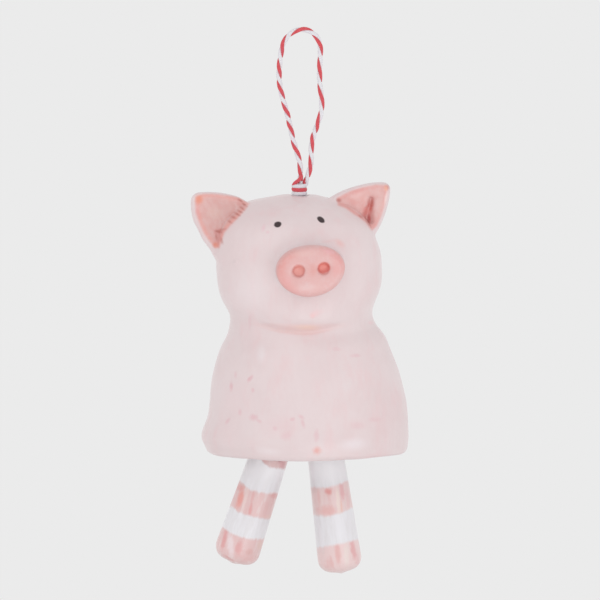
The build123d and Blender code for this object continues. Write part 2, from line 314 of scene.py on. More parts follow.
def laid(line):  # how far the plies have turned at each point
    return -2 * pi * travelled(line) / twine["pitch"]


def frames(line, up=None):  # a side at every point, carried along untwisted or kept towards up
    ways = np.gradient(line, axis=0)
    ways /= np.linalg.norm(ways, axis=1)[:, None]
    if up is not None:
        sides = np.array(up) - ways * (ways @ np.array(up))[:, None]
        sides /= np.linalg.norm(sides, axis=1)[:, None]
        return sides, np.cross(ways, sides)
    start = Vector((0, -1, 0)) if abs(ways[0][1]) < 0.9 else Vector((1, 0, 0))
    side = (start - Vector(ways[0]) * start.dot(Vector(ways[0]))).normalized()
    sides = [side]
    for before, here in zip(ways, ways[1:]):
        side = Vector(before).rotation_difference(Vector(here)) @ side
        side = (side - Vector(here) * side.dot(Vector(here))).normalized()
        sides.append(side)
    sides = np.array(sides)
    return sides, np.cross(ways, sides)


class Twine:
    def __init__(self, name):
        self.name = name
        self.points, self.faces = [], []
        self.reds, self.along, self.around = [], [], []

    def ply(self, line, sides, ups, turns, red, out, deep, wide, tip):
        rim = twine["sides"]
        first = len(self.points)
        along = travelled(line)
        for k in range(len(line)):
            end = min(along[k], along[-1] - along[k])
            thin = max(sqrt(max(0.0, 1 - (1 - min(end / tip, 1)) ** 2)), twine["tipShare"])
            outward = cos(turns[k]) * sides[k] + sin(turns[k]) * ups[k]
            across = -sin(turns[k]) * sides[k] + cos(turns[k]) * ups[k]
            middle = line[k] + outward * out * thin
            for step in range(rim):
                angle = 2 * pi * step / rim
                self.points.append((middle + (outward * cos(angle) * deep
                                              + across * sin(angle) * wide) * thin) * mm)
                self.reds.append(red)
                self.along.append(along[k])
                self.around.append(abs(angle / pi - 1))
        for k in range(len(line) - 1):
            for step in range(rim):
                a, b = first + k * rim + step, first + k * rim + (step + 1) % rim
                self.faces.append((a, b, b + rim, a + rim))
        last = first + (len(line) - 1) * rim
        self.faces.append(tuple(first + step for step in reversed(range(rim))))
        self.faces.append(tuple(last + step for step in range(rim)))

    def rope(self, line, turns, up=None, thin=1.0, tip=0.3):
        sides, ups = frames(line, up)
        for ply in (0, 1):
            self.ply(line, sides, ups, turns + ply * pi, 1.0 - ply, twine["plyOut"] * thin,
                     twine["plyDeep"] * thin, twine["plyWide"] * thin, tip)

    def single(self, line, red, deep, wide, tip, up=None):  # one strand by itself
        self.ply(line, *frames(line, up), np.zeros(len(line)), red, 0.0, deep, wide, tip)

    def finish(self):
        piece = meshPiece(self.name, self.points, self.faces)
        setNumber(piece.data, "red", self.reds)
        setNumber(piece.data, "along", self.along)
        setNumber(piece.data, "around", self.around)
        piece.data.materials.append(twineMaterial)
        return piece


def makeTwineMaterial():
    s = Shader("twine")
    along = s.attribute("along")
    around = s.attribute("around")
    lay = s.add("ShaderNodeCombineXYZ")
    s.put(lay.inputs[0], s.math("MULTIPLY", along, 1.1))
    s.put(lay.inputs[1], s.math("ADD", s.math("MULTIPLY", around, 6.0), s.math("MULTIPLY", along, 1.6)))
    s.put(lay.inputs[2], s.attribute("red"))
    fibre = s.noise(2.2, 4.0, 0.65, (2.0, 0.42, 1), places=lay.outputs[0])
    fuzz = s.noise(3.4, 4.0, 0.7)
    cloud = s.noise(0.32, 2.0)
    plain, fibres, shade = (linear(*tone) for tone in twine["red"])
    red = s.mix(s.ramp(fibre, 0.3, 0.72), plain, fibres)
    red = s.mix(s.ramp(cloud, 0.42, 0.75, (0.0, 0.4)), red, shade)
    plain, fibres, shade = (linear(*tone) for tone in twine["white"])
    white = s.mix(s.ramp(fibre, 0.3, 0.75), plain, fibres)
    white = s.mix(s.ramp(cloud, 0.5, 0.75, (0.0, 0.5)), white, shade)
    colour = s.mix(s.ramp(s.attribute("red"), 0.4, 0.6), white, red)
    s.bump(s.math("ADD", fibre, s.math("MULTIPLY", fuzz, 0.7)), 0.09, 0.8)
    return s.finish(colour, Roughness=0.85, Sheen_Weight=0.2, Specular_IOR_Level=0.25)


twineMaterial = makeTwineMaterial()

loopLine = routeLine([(strands[0], 0, loopFoot), *loopRoute, (strands[1], 0, loopFoot)])
loopX, loopV = seen(loopLine)
loopAlong = travelled(loopLine)
patchAlong = [loopAlong[np.argmin((loopX - x) ** 2 + (loopV - v) ** 2)] for x, v in redPatches]
patchAlong = [patchAlong[0] - twine["pitch"], *patchAlong, patchAlong[-1] + twine["pitch"]]
loopTurns = -2 * pi * np.interp(loopAlong, patchAlong, np.arange(len(patchAlong)))
loopTwine = Twine("hanging_twine")
loopTwine.rope(loopLine, loopTurns, tip=0.2)
hangingTwine = loopTwine.finish()
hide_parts("hanging_loop", "loop_throat")


# Knots: the twine wound round itself and tucked in

wound = {
    "points": 70,  # points in a turn
    "tuck": 0.35,  # the ends' share of the winding's radius
    "widening": 3.2,  # how fast the ends come out to the full radius, in a turn
}


def windingPiece(name, knot, middle, up, side):
    line = windingLine(knot, middle, up, side)
    knotTwine = Twine(name)
    knotTwine.rope(line, laid(line), up, knot["thin"], knot["tip"])
    return knotTwine.finish()


def windingLine(knot, middle, up, side):
    up, side = Vector(up).normalized(), Vector(side).normalized()
    other = up.cross(side)
    count = int(knot["turns"] * wound["points"])
    line = []
    for k in range(count + 1):
        share = k / count
        drawn = min(min(share, 1 - share) * knot["turns"] * wound["widening"], 1)
        radius = knot["reach"] * (wound["tuck"] + (1 - wound["tuck"]) * sin(drawn * pi / 2))
        angle = 2 * pi * knot["turns"] * share
        line.append(Vector(middle) + side * radius * cos(angle) + other * radius * sin(angle)
                    + up * knot["rise"] * (share - 0.5))
    return evenLine(np.array(line))


topKnot = {
    "across": -0.72, "reach": 1.66, "deep": 0.46, "backToFront": 0.94,
    "seam": 0.6 * pi,  # where a band's ends meet, behind
    "core": (-40.95, -44.05, 1.25),  # top, foot and radius
    "stub": (0.45, 1.1),  # how far a strand's stub stands above and below the loop's foot
    # level, slope across, half height, redness
    "bands": ((-41.62, 0.03, 0.56, 0.0), (-42.6, -0.03, 0.6, 1.0), (-43.68, 0.03, 0.62, 0.0)),
    "bight": ((-0.1, -0.5, -38.6), (-0.25, -1.0, -39.3), (-1.0, -1.35, -40.1), (-2.1, -1.05, -40.9),
              (-2.3, -0.3, -41.6)),
    "bightDeep": 0.52, "bightWide": 0.5,
}
# thin: how much of the plies' size a winding keeps; tip: the length of their rounded ends
stopKnot = {"middle": (-0.3, 0.0, -50.183), "reach": 2.12, "rise": 2.65, "turns": 2.6, "thin": 0.92,
            "tip": 0.6}
tieKnot = {"height": 3.2, "reach": 1.22, "rise": 2.0, "turns": 2.2, "thin": 0.9, "tip": 0.6}

knotTwine = Twine("top_knot_twine")
for level, slope, half, red in topKnot["bands"]:
    angles = np.linspace(topKnot["seam"], topKnot["seam"] + 2 * pi, 90)
    ring = np.stack([topKnot["across"] + topKnot["reach"] * np.cos(angles),
                     topKnot["backToFront"] * topKnot["reach"] * np.sin(angles),
                     level + slope * topKnot["reach"] * np.cos(angles)], axis=1)
    knotTwine.single(ring, red, half, topKnot["deep"], 0.3, (0, 0, 1))
knotTwine.single(routeLine(topKnot["bight"], 0.08), 1.0, topKnot["bightDeep"], topKnot["bightWide"], 0.4)
coreTop, coreFoot, coreReach = topKnot["core"]
core = np.linspace((topKnot["across"], 0, coreTop), (topKnot["across"], 0, coreFoot), 20)
knotTwine.single(core, 0.0, coreReach, coreReach, 0.3)
above, below = topKnot["stub"]
for strand, startTurn, way in ((strands[0], loopTurns[0], 1), (strands[1], loopTurns[-1], -1)):
    stub = np.linspace((strand, 0, loopFoot + above), (strand, 0, loopFoot - below), 14)
    turns = startTurn + way * 2 * pi * (travelled(stub) - above) / twine["pitch"]
    knotTwine.rope(stub, turns, (0, -1, 0), tip=0.25)
topKnotPiece = knotTwine.finish()
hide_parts("top_knot")

stopKnotPiece = windingPiece("stop_knot_twine", stopKnot, stopKnot["middle"], (0, 0, 1), (1, 0, 0))
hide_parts("stop_knot")
crownCord = nodes["crown_cord"]
crownCord.data.materials.clear()
crownCord.data.materials.append(twineMaterial)

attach(topKnotPiece, "bell")
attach(stopKnotPiece, "bell")
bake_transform(hangingTwine)


# Below the stop knot each strand carries a leg, tied through the leg's eye

hangers = {
    "left": {"swing": (-1.12, 0.0, swingLevel), "eye": (-6.6, 0.0, -108.6), "phase": 0.4},
    "right": {"swing": (0.52, 0.0, swingLevel), "eye": (5.65, 0.0, -109.5), "phase": 1.7},
}
# Above the leg's eye: the knot's foot, the straight neck, half its width, the widest place, the turn
tie = {"rise": 9.8, "neck": 2.6, "apart": 0.82, "shoulder": (5.0, 4.0), "bend": 3.6}


def beside(eye, up, reach, rise):  # a place behind the eye by reach and above it by rise
    return tuple(eye + Vector((0, reach, 0)) + up * rise)


for sideName, hanger in hangers.items():
    swing, eye = Vector(hanger["swing"]), Vector(hanger["eye"])
    up = (swing - eye).normalized()
    half = [(tie["apart"], tie["rise"]), (tie["apart"], tie["rise"] - tie["neck"]), tie["shoulder"],
            (tie["bend"], 0)]
    route = [tuple(swing), beside(eye, up, 0, tie["rise"] + tieKnot["height"]),
             *(beside(eye, up, reach, rise) for reach, rise in half),
             *(beside(eye, up, -reach, rise) for reach, rise in reversed(half))]
    line = routeLine(route)
    cordTwine = Twine(f"{sideName}_twine")
    cordTwine.rope(line, hanger["phase"] + laid(line))
    cordPiece = cordTwine.finish()
    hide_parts(f"{sideName}_tail", f"{sideName}_tie")
    knotPiece = windingPiece(f"{sideName}_knot_twine", tieKnot,
                             beside(eye, up, 0, tie["rise"] + tieKnot["height"] / 2), up, (0, 1, 0))
    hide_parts(f"{sideName}_tie_knot")
    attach(cordPiece, f"{sideName}_hanger")
    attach(knotPiece, f"{sideName}_hanger")
print("twine made")


# The bell: the CAD's form with softened edges, a pressed chin and the unevenness of handwork

bellForm = {
    "voxel": 0.42, "rounds": 7, "joinRounds": 40,
    # places where an ear's root is smoothed into the head: middle and radius
    "joins": (((-22.5, -7.5, -61.5), 5.0), ((19.5, -7.0, -55.5), 3.0), ((8.0, -5.5, -45.5), 3.0),
              ((-14.5, -5.0, -47.0), 3.0)),
    # the chin's crease, across and up
    "crease": ((-14.0, -78.3), (-12.2, -78.5), (-10.7, -79.1), (-5.7, -80.2), (0.2, -80.9), (4.0, -80.5),
               (7.9, -79.5), (11.6, -78.7), (14.0, -78.3)),
    "creaseDepth": 0.35, "creaseWidth": 0.8, "creaseMiddle": -0.3, "creaseEnds": (14.0, 7.0),
    # how far the chin stands out, and where above the crease it starts, is full, lessens and ends
    "chinStand": 0.25, "chin": (-0.2, 1.6, 2.2, 9.0),
    "lumpHeight": 0.13,
    # across, and how much the front of the rim rises there
    "rimRise": ((-24, 0.0), (-20, 0.45), (-14, 0.8), (0, 0.75), (12, 0.95), (22, 0.8), (28, 0.0)),
    "rimFade": ((-104.0, -113.0), (2.0, -9.0)),  # levels and depths between which the rise grows
    "crownFall": 0.6,  # how far the crown drops behind the knot
    "crownFade": ((-50.0, -46.0), (0.5, 6.0)),
    "snoutTrim": 0.9,  # how much of the snout's upper half stays
    # up, the left ear's edge there, and how far it moves out
    "earEdge": ((-60, -24.3, 0.0), (-58.6, -24.8, 0.0), (-55.9, -26.0, 0.75), (-53.2, -27.2, 0.9),
                (-50.5, -28.1, 1.3), (-47.8, -28.9, 1.05), (-45.1, -29.4, 0.5), (-43.0, -29.0, 0.1)),
    # across, the left ear's upper edge there, and how far it moves up
    "earTop": ((-29, -43.6, 0.1), (-24, -43.4, 0.3), (-19.7, -44.3, 0.6), (-16.7, -45.6, 0.85),
               (-14.5, -46.3, 0.4), (-11, -46.0, 0.0)),
    # how far in from its edge and its top the ear moves, and where across it starts
    "edgeReach": (5.0, 0.3), "topReach": (4.0, 0.3), "earOnly": (-20.0, -22.0),
}

bell = remeshed("bell_body", "bell_glaze", bellForm["voxel"], bellForm["rounds"])
places = vertexPlaces(bell.data)
joins = bell.vertex_groups.new(name="joins")
for middle, radius in bellForm["joins"]:
    near = np.linalg.norm(places - np.array(middle), axis=1)
    for index in np.nonzero(near < radius)[0]:
        joins.add([int(index)], float(smooth(radius, radius * 0.4, near[index])), "REPLACE")
soften(bell, bellForm["joinRounds"], "joins")
settled(bell)
bell.vertex_groups.clear()

# The snout's own directions: across, up and out
snout = {
    "middle": (2.5, -24.2, -61.4), "reach": (9.35, 7.2), "turn": 5.0, "roll": 5.5,
    # shares of its reach, and levels along its out direction, between which each fades in
    "trimFade": ((2.3, 1.1), (-8.0, -5.5)), "paintFade": ((1.14, 1.05), (-4.9, -3.4)),
}
out = np.array([sin(radians(snout["turn"])), -cos(radians(snout["turn"])), 0])
upFace = np.array([-sin(radians(snout["roll"])), 0, cos(radians(snout["roll"]))])
side = np.cross(upFace, out) / np.linalg.norm(np.cross(upFace, out))
top = np.cross(out, side)


def snoutPlaces(points):
    local = points - np.array(snout["middle"])
    return local @ side, local @ top, local @ out


def fadeIn(levels, first, second):  # 1 where both values are past their levels
    return smooth(*levels[0], first) * smooth(*levels[1], second)


places = vertexPlaces(bell.data)
normals = vertexNormals(bell.data)
across, upward = seen(places)
su, sv, sw = snoutPlaces(places)
reach = np.sqrt((su / snout["reach"][0]) ** 2 + (sv / snout["reach"][1]) ** 2)
trim = fadeIn(snout["trimFade"], reach, sw) * np.maximum(sv, 0) * (1 - bellForm["snoutTrim"])
places -= trim[:, None] * top

# The chin, on the outside of the front only
outer = smooth(0.0, -0.5, normals[:, 1]) * (places[:, 1] < -8)
creaseX, creaseV = np.array(bellForm["crease"]).T
creaseAt = np.interp(across, creaseX, creaseV)
ends = smooth(*bellForm["creaseEnds"], abs(across - bellForm["creaseMiddle"]))
pressed = np.exp(-((upward - creaseAt) / bellForm["creaseWidth"]) ** 2) * ends
chinStart, chinFull, chinLess, chinEnd = bellForm["chin"]
chin = (smooth(creaseAt + chinStart, creaseAt + chinFull, upward)
        * smooth(creaseAt + chinEnd, creaseAt + chinLess, upward) * ends)
places[:, 1] += outer * (bellForm["creaseDepth"] * pressed - bellForm["chinStand"] * chin)

# The rim and the crown
x, y, z = places.T
riseX, rise = np.array(bellForm["rimRise"]).T
places[:, 2] += np.interp(x, riseX, rise) * fadeIn(bellForm["rimFade"], z, y)
places[:, 2] -= bellForm["crownFall"] * fadeIn(bellForm["crownFade"], z, y)

# The left ear
edgeV, edgeX, outwards = np.array(bellForm["earEdge"]).T  # from below upwards
inwards = across - np.interp(upward, edgeV, edgeX)
nearEdge = smooth(*bellForm["edgeReach"], inwards) * smooth(*bellForm["earOnly"], across)
places[:, 0] -= np.interp(upward, edgeV, outwards) * nearEdge * (upward > edgeV.min())
topX, topV, upwards = np.array(bellForm["earTop"]).T
downwards = np.interp(across, topX, topV) - upward
places[:, 2] += np.interp(across, topX, upwards) * smooth(*bellForm["topReach"], downwards)

# Long, middling and short lumps over it all
x, y, z = places.T
lumps = (np.sin(0.21 * x + 0.9) * np.sin(0.17 * z + 0.4) + 0.6 * np.sin(0.33 * x - 0.24 * y + 2.1)
         * np.sin(0.29 * z + 1.3) + 0.35 * np.sin(0.55 * x + 0.31 * z) * np.sin(0.48 * y - 0.4 * z))
places += normals * (bellForm["lumpHeight"] * lumps)[:, None]
setPlaces(bell.data, places)
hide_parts("bell_body")
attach(bell, "bell")
print("bell formed,", len(places), "points")


# Its painting, in soft layers on the mesh's points and in fine marks in the shader

class Paint:
    under = (224, 200, 200)  # the colour that a wash thins out to

    def __init__(self, count):
        self.colour = np.tile(np.array(linear(*self.under)), (count, 1))
        self.amount = np.zeros(count)

    def lay(self, mask, colour):
        total = mask + self.amount * (1 - mask)
        share = np.where(total > 1e-6, mask / np.maximum(total, 1e-6), 0)[:, None]
        self.colour = self.colour * (1 - share) + np.array(linear(*colour)) * share
        self.amount = total

    def layDabs(self, soft, within, rows):  # across, up, half width, half height, lean, strength, colour
        for x, v, wide, tall, lean, strength, colour in rows:
            self.lay(dab(x, v, wide, tall, lean, soft) * within * strength, colour)


def dab(x, v, wide, tall, lean, soft):
    turn = radians(lean)
    u = ((across - x) * cos(turn) + (upward - v) * sin(turn)) / wide
    w = (-(across - x) * sin(turn) + (upward - v) * cos(turn)) / tall
    return smooth(1.0, 1.0 - soft, np.sqrt(u * u + w * w)) * front


def insideOutline(outline):  # how far inside a closed outline each point lies, in millimetres
    corners = np.array(outline)
    away = np.full(len(across), 1e9)
    crossings = np.zeros(len(across), int)
    for (ax, av), (bx, bv) in zip(corners, np.roll(corners, -1, axis=0)):
        length = (bx - ax) ** 2 + (bv - av) ** 2
        share = np.clip(((across - ax) * (bx - ax) + (upward - av) * (bv - av)) / length, 0, 1)
        away = np.minimum(away, np.hypot(across - ax - share * (bx - ax), upward - av - share * (bv - av)))
        if av != bv:
            spans = (av > upward) != (bv > upward)
            crossings += spans & (across < ax + (upward - av) / (bv - av) * (bx - ax))
    return np.where(crossings % 2 == 1, away, -away)


places = vertexPlaces(bell.data)
normals = vertexNormals(bell.data)
across, upward = seen(places)
front = smooth(0.1, -0.3, normals[:, 1]) * (places[:, 1] < 3)
paint = Paint(len(places))

# Soft clouds on the body, with painted highlights and painted light among them
paint.layDabs(0.95, 1.0, (
    # painted highlights: three whitish patches, on the left chest, the right side and the skirt's front
    (-11.0, -86.5, 2.0, 4.0, 0, 0.7, (229, 219, 221)),
    (12.0, -95.0, 4.0, 3.5, 0, 0.4, (225, 215, 216)),
    (-8.8, -113.0, 5.0, 1.6, -8, 0.7, (232, 220, 222)),
    (14.0, -111.0, 6.0, 2.6, 6, 0.8, (231, 220, 223)),
    (1.0, -92.0, 9.0, 8.0, 0, 0.4, (222, 206, 207)),
    (-18.0, -100.0, 7.0, 9.0, 0, 0.35, (228, 204, 206)),
    (-6.0, -106.0, 8.0, 4.5, 0, 0.45, (227, 200, 202)),
    (-20.0, -108.0, 5.0, 6.0, 0, 0.4, (229, 205, 207)),
    (24.5, -101.0, 3.0, 13.0, -8, 0.25, (228, 204, 206)),
    (19.0, -114.5, 5.0, 1.4, 10, 0.5, (229, 200, 202)),
    (-13.5, -82.5, 4.5, 6.0, 0, 0.3, (229, 205, 207)),
    (15.0, -105.5, 6.0, 2.4, 0, 0.3, (227, 201, 202)),
    (-10.4, -52.6, 0.8, 1.6, -15, 0.8, (225, 190, 196)),
    (-9.3, -53.7, 0.9, 0.7, 0, 0.7, (225, 188, 194)),
    (10.2, -56.7, 2.4, 1.3, -38, 0.85, (227, 186, 184)), (7.0, -56.2, 3.0, 0.7, 8, 0.5, (225, 192, 192)),
    (2.9, -76.3, 1.1, 1.0, 0, 0.8, (235, 188, 188)), (3.4, -75.9, 2.0, 1.3, 0, 0.5, (232, 194, 195)),
    (4.4, -75.2, 3.2, 1.0, 5, 0.4, (230, 198, 200)),
    # painted light: the lower cheeks painted paler, where the light falls on them
    (-14.5, -70.0, 8.0, 9.0, 0, 0.5, (231, 219, 221)), (14.5, -66.0, 5.0, 9.0, 0, 0.4, (230, 216, 217)),
    (18.6, -78.2, 1.3, 0.8, 0, 0.6, (229, 190, 194)),
    (-9.0, -46.6, 5.5, 1.6, -15, 0.35, (219, 196, 198)),
    (12.0, -48.0, 7.0, 2.5, 20, 0.25, (226, 214, 214)),
))

# The pink that pooled under the chin, and painted shade in the crease there
creaseAt = np.interp(across, creaseX, creaseV)
inCrease = smooth(creaseAt - 1.0, creaseAt - 0.1, upward) * smooth(-78.0, -78.9, upward) * front
paint.lay(inCrease * smooth(15.0, 8.0, abs(across + 1.0)) * 0.6, (226, 196, 195))
paint.lay(inCrease * dab(-0.5, -80.3, 8.5, 1.9, 0, 0.7) * 0.5, (226, 188, 184))
paint.lay(dab(1.2, -79.4, 5.0, 1.1, -2, 0.9) * 0.8, (231, 198, 186))
# a painted shadow line along the lower edge of the crease
lowEdge = np.exp(-((upward - creaseAt + 0.5) / 0.35) ** 2) * smooth(11.0, 4.0, abs(across + 0.5)) * front
paint.lay(lowEdge * 0.45, (221, 180, 178))

# The snout, pinker round its rim and about the nostrils
su, sv, sw = snoutPlaces(places)
sv = np.where(sv > 0, sv / bellForm["snoutTrim"], sv)
reach = np.sqrt((su / snout["reach"][0]) ** 2 + (sv / snout["reach"][1]) ** 2)
onSnout = fadeIn(snout["paintFade"], reach, sw)
paint.lay(onSnout * 0.95, (221, 172, 169))
angle = np.degrees(np.arctan2(sv, su))
rimBand = smooth(0.62, 0.92, reach) * onSnout
for middle, far, near, strength, colour in (  # where round the rim, in degrees, and how wide
    (172, 70, 25, 0.9, (222, 156, 151)), (22, 52, 18, 0.9, (223, 160, 157)),
    (-140, 60, 20, 0.6, (226, 170, 168)),
):
    paint.lay(rimBand * smooth(far, near, abs((angle - middle + 180) % 360 - 180)) * strength, colour)
paint.lay(smooth(1.1, 0.97, reach) * smooth(0.93, 1.0, reach) * onSnout * 0.45, (216, 160, 156))
paint.layDabs(0.9, onSnout, (
    (2.9, -64.0, 2.0, 2.6, 0, 0.85, (219, 157, 151)), (-0.9, -64.1, 2.4, 2.4, 0, 0.6, (223, 165, 160)),
    (5.9, -63.4, 2.5, 2.4, 0, 0.7, (223, 158, 153)), (7.4, -59.0, 2.4, 1.0, -12, 0.6, (230, 172, 176)),
    (9.0, -64.0, 1.8, 2.6, 0, 0.7, (222, 160, 157)), (1.6, -68.6, 4.5, 1.4, 4, 0.5, (229, 196, 194)),
    (-3.6, -66.6, 1.5, 1.5, 0, 0.5, (226, 168, 168)), (0.5, -59.6, 4.5, 1.2, 0, 0.4, (226, 190, 184)),
))

# Ears: pink inside a pale lip
leftEar = [(-28.7, -46.1), (-28.4, -48.6), (-27.8, -50.7), (-26.5, -53.8), (-24.9, -56.1), (-23.4, -57.9),
           (-22.4, -57.9), (-21.8, -56.1), (-21.1, -53.8), (-19.3, -51.7), (-17.4, -49.9), (-15.4, -47.6),
           (-14.2, -45.9), (-17.4, -44.4), (-20.6, -43.9), (-23.9, -43.5), (-26.7, -43.5), (-28.4, -44.3)]
rightEar = [(9.5, -44.6), (9.8, -46.4), (11.9, -47.2), (13.9, -48.7), (15.6, -49.7), (17.4, -51.1),
            (18.9, -53.1), (20.1, -52.1), (21.3, -49.4), (22.3, -46.4), (22.9, -43.7), (23.1, -41.8),
            (22.6, -41.1), (20.1, -41.0), (17.0, -41.6), (12.9, -42.9)]
fan = np.arctan2(upward + 60.5, across + 20.0)  # the brush strokes fan out from below
ridges = 0.5 + 0.5 * np.sin(34 * fan + 2.0 * np.sin(0.9 * across + 0.4 * upward) + 1.3 * np.sin(1.7 * upward))
for outline, colour, rim in ((leftEar, (221, 176, 171), (228, 158, 150)),
                             (rightEar, (227, 181, 177), (222, 157, 152))):
    depth = insideOutline(outline)
    inEar = smooth(-0.5, 0.45, depth) * front
    paint.lay(inEar * 0.95, colour)
    paint.lay(inEar * smooth(1.5, 0.2, depth) * 0.8, rim)
    paint.lay(inEar * ridges * smooth(0.4, 1.6, depth) * 0.4, (213, 150, 143))
paint.layDabs(0.8, 1.0, (
    (-22.6, -53.6, 1.8, 1.5, 0, 0.9, (211, 138, 134)), (-22.9, -55.6, 1.2, 2.2, 5, 0.75, (214, 148, 144)),
    (-23.3, -57.2, 1.2, 1.1, 0, 0.9, (222, 146, 134)), (-27.7, -45.0, 1.5, 1.7, -10, 0.8, (226, 148, 130)),
    (-28.2, -48.0, 0.9, 2.8, 5, 0.6, (222, 156, 154)), (-23.5, -48.5, 3.0, 2.6, 0, 0.6, (224, 190, 182)),
    (-16.5, -46.3, 2.4, 0.9, -38, 0.7, (212, 142, 136)), (-18.6, -49.3, 2.6, 0.9, 42, 0.6, (211, 152, 148)),
    (18.5, -46.4, 1.25, 3.1, -8, 1.0, (200, 100, 92)), (17.3, -48.2, 1.5, 2.3, 0, 0.8, (221, 136, 130)),
    (18.1, -50.0, 0.7, 1.6, 5, 0.9, (202, 104, 104)), (9.9, -45.2, 0.9, 0.75, 0, 0.9, (204, 136, 130)),
    (21.0, -46.8, 1.2, 4.2, -12, 0.7, (226, 184, 178)), (22.7, -44.4, 0.55, 2.8, -12, 0.7, (236, 214, 212)),
    (22.9, -41.7, 1.0, 1.1, 0, 0.8, (208, 130, 124)), (16.6, -45.6, 1.4, 2.6, -20, 0.5, (221, 158, 152)),
    (13.5, -45.6, 2.6, 1.2, -25, 0.5, (223, 160, 156)), (15.0, -42.6, 5.0, 0.8, 15, 0.6, (221, 160, 157)),
))

setColour(bell.data, "paint", paint.colour)
setNumber(bell.data, "wash", paint.amount)
setNumber(bell.data, "front", front)

# Fine marks: across, up, half width, half height, lean, strength
specks = [
    (-13.99, -93.18, 0.92, 0.43, 50, 0.8), (-19.01, -95.31, 0.43, 1.13, 0, 0.7),
    (-13.2, -96.28, 0.43, 0.49, 0, 0.5), (-17.85, -92.21, 0.38, 0.7, 0, 0.35),
    (-16.69, -102.28, 0.43, 0.7, 0, 0.45), (-19.98, -104.6, 0.86, 0.38, 55, 0.5),
    (-13.01, -103.63, 0.97, 0.76, 0, 0.6), (-11.45, -104.6, 0.65, 0.38, -35, 0.5),
    (-7.18, -106.54, 0.59, 0.54, 0, 0.4), (-2.54, -104.03, 0.59, 0.49, 0, 0.55),
    (-0.22, -103.44, 0.81, 0.43, -30, 0.5), (0.27, -105.14, 0.43, 1.08, 15, 0.5),
    (-4.29, -108.49, 1.24, 1.03, 0, 0.35), (3.86, -108.49, 0.59, 1.35, 0, 0.45),
    (9.26, -85.24, 1.19, 0.49, 0, 0.3), (14.5, -86.97, 1.13, 0.43, 0, 0.4),
    (14.88, -105.76, 1.62, 0.81, 0, 0.25), (19.55, -104.22, 1.62, 0.54, 0, 0.25),
    (-13.99, -77.87, 0.43, 1.62, 0, 0.3),
]
strokes = [
    (-16.66, -45.23, 0.7, 0.27, -30, 0.8), (-15.5, -46.36, 0.76, 0.27, -35, 0.9),
    (-16.12, -47.39, 0.7, 0.27, -40, 0.8), (-16.69, -48.25, 0.65, 0.27, -30, 0.8),
    (-17.47, -48.92, 0.81, 0.27, -30, 0.9), (-18.52, -49.76, 0.81, 0.3, -25, 0.8),
    (-19.55, -50.9, 0.7, 0.27, -30, 0.7), (-21.49, -53.06, 0.81, 0.27, 10, 0.7),
    (-22.57, -53.6, 0.81, 0.3, -10, 0.9), (-23.11, -55.0, 0.27, 0.81, 10, 0.6),
    (-21.71, -55.97, 0.32, 0.92, 20, 0.6), (15.77, -49.57, 0.6, 0.25, -30, 0.6),
    (18.8, -45.9, 0.3, 1.0, -10, 0.7), (17.75, -51.15, 0.28, 1.1, 35, 0.8),
    (9.9, -45.12, 0.55, 0.4, -20, 0.6),
]
ragged, nearlySmooth = 1.5, 0.35
fineMarks = (  # spots, colour, softness, raggedness
    (specks, (221, 178, 184), 0.8, ragged),
    ([(4.05, -112.56, 0.9, 0.8, 0, 0.7)], (228, 156, 146), 0.9, ragged),
    (strokes, (186, 112, 104), 0.9, ragged),
    ([(-27.8, -44.9, 0.9, 1.0, 0, 0.6), (-23.3, -57.1, 0.6, 0.6, 0, 0.4)], (228, 138, 110), 0.9, ragged),
    # a painted highlight: an orange glint on the right ear's tip
    ([(22.6, -41.95, 0.4, 0.6, 0, 0.6)], (242, 186, 158), 0.9, ragged),
    # nostrils, each a dark ring and a lighter middle
    ([(-0.86, -64.15, 1.7, 1.62, 0, 0.75)], (205, 130, 124), 0.12, nearlySmooth),
    ([(-0.86, -64.15, 1.42, 1.34, 0, 1.0)], (226, 156, 148), 0.2, nearlySmooth),
    ([(5.86, -63.42, 1.66, 1.5, 25, 0.95)], (211, 112, 104), 0.2, nearlySmooth),
    ([(5.5, -63.1, 1.1, 0.95, 20, 0.8)], (232, 144, 134), 0.45, nearlySmooth),
    # eyes
    ([(-6.53, -51.79, 1.0, 0.78, 14, 1.0), (5.08, -50.49, 1.16, 0.7, -36, 1.0)], (52, 33, 36), 0.2,
     nearlySmooth),
)

coat = {"Coat_Weight": 0.3, "Coat_Roughness": 0.15, "Specular_IOR_Level": 0.4}  # clear glaze on bell and legs
bellGlaze = {"pink": (225, 209, 210), "deeper": (222, 203, 204), "brushed": (226, 196, 198),
             "roughness": 0.36}


def makeBellMaterial():
    s = Shader("pink_glaze")
    cloud = s.noise(0.07, 3.0, 0.6)
    brush = s.noise(0.22, 4.0, 0.6, (1.0, 1.0, 2.6))
    fine = s.noise(1.1, 4.0, 0.6)
    uneven = s.math("SUBTRACT", fine, 0.5)
    edges = {amount: s.math("MULTIPLY", uneven, amount) for amount in (ragged, nearlySmooth)}
    front = s.attribute("front")
    colour = s.mix(s.ramp(cloud, 0.3, 0.7), linear(*bellGlaze["pink"]), linear(*bellGlaze["deeper"]))
    colour = s.mix(s.ramp(brush, 0.45, 0.75, (0.0, 0.5)), colour, linear(*bellGlaze["brushed"]))
    worn = s.ramp(s.math("ADD", s.math("MULTIPLY", brush, 0.5), s.math("MULTIPLY", fine, 0.5)), 0.3, 0.6,
                  (0.72, 1.0))
    colour = s.mix(s.math("MULTIPLY", s.attribute("wash"), worn), colour, s.attribute("paint", "Color"))
    for spots, tone, soft, amount in fineMarks:
        for x, v, wide, tall, lean, strength in spots:
            mark = s.math("MULTIPLY", s.spot(x, v, wide, tall, lean, soft, edges[amount]), front)
            colour = s.mix(s.math("MULTIPLY", mark, strength), colour, linear(*tone))
    s.bump(s.math("ADD", s.math("MULTIPLY", cloud, 4.0), s.math("MULTIPLY", brush, 0.8)), 0.35, 0.3)
    return s.finish(colour, Roughness=bellGlaze["roughness"], **coat)


bell.data.materials.append(makeBellMaterial())
print("bell painted")


# Legs: white bars with painted bands, whose edges are given across and up

